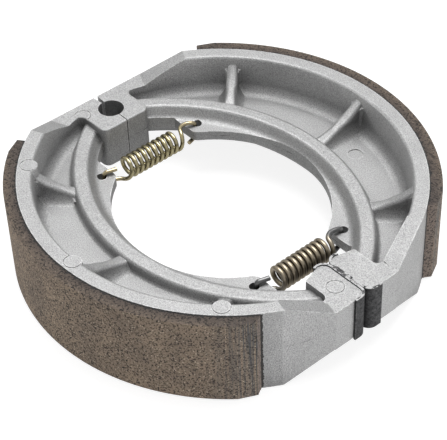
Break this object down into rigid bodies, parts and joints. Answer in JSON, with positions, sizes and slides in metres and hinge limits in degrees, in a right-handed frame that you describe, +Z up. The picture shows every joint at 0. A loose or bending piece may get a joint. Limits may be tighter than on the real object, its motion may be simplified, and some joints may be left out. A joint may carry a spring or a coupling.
{
  "type": "drum brake shoe set",
  "caption": "Cast brake shoes with bonded curved linings, steel cam clips and coil return springs, hinged round a shared anchor pin hole for a rear drum brake.",
  "frame": {"origin": "under the middle of the closed set, on the surface that it lies on", "axes": "+X from the anchor pin hole towards the cam faces, +Y from the front shoe towards the rear shoe, +Z up along the wheel axle"},
  "size_m": [0.1186, 0.1224, 0.028],
  "materials": {
    "casting": "sand textured die casting",
    "lining": "ground friction composite",
    "clip": "dull",
    "anchor_spring_wire": "yellow zinc",
    "cam_spring_wire": "dark oiled"
  },
  "bodies": {
    "front": {"front_shoe": "casting", "front_lining": "lining", "front_cam_clip": "clip", "anchor_spring": "anchor_spring_wire", "cam_spring": "cam_spring_wire"},
    "rear": {"rear_shoe": "casting", "rear_lining": "lining", "rear_cam_clip": "clip"}
  },
  "joints": [
    {"name": "anchor_pivot", "type": "hinge", "parent": "front", "child": "rear", "pos_m": [-0.0515, 0, 0.014], "axis": [0, 0, 1], "range_deg": [0, 9], "stiffness_Nm_per_rad": 38, "springref_deg": -2.86, "deforming": ["anchor_spring", "cam_spring"]}
  ]
}
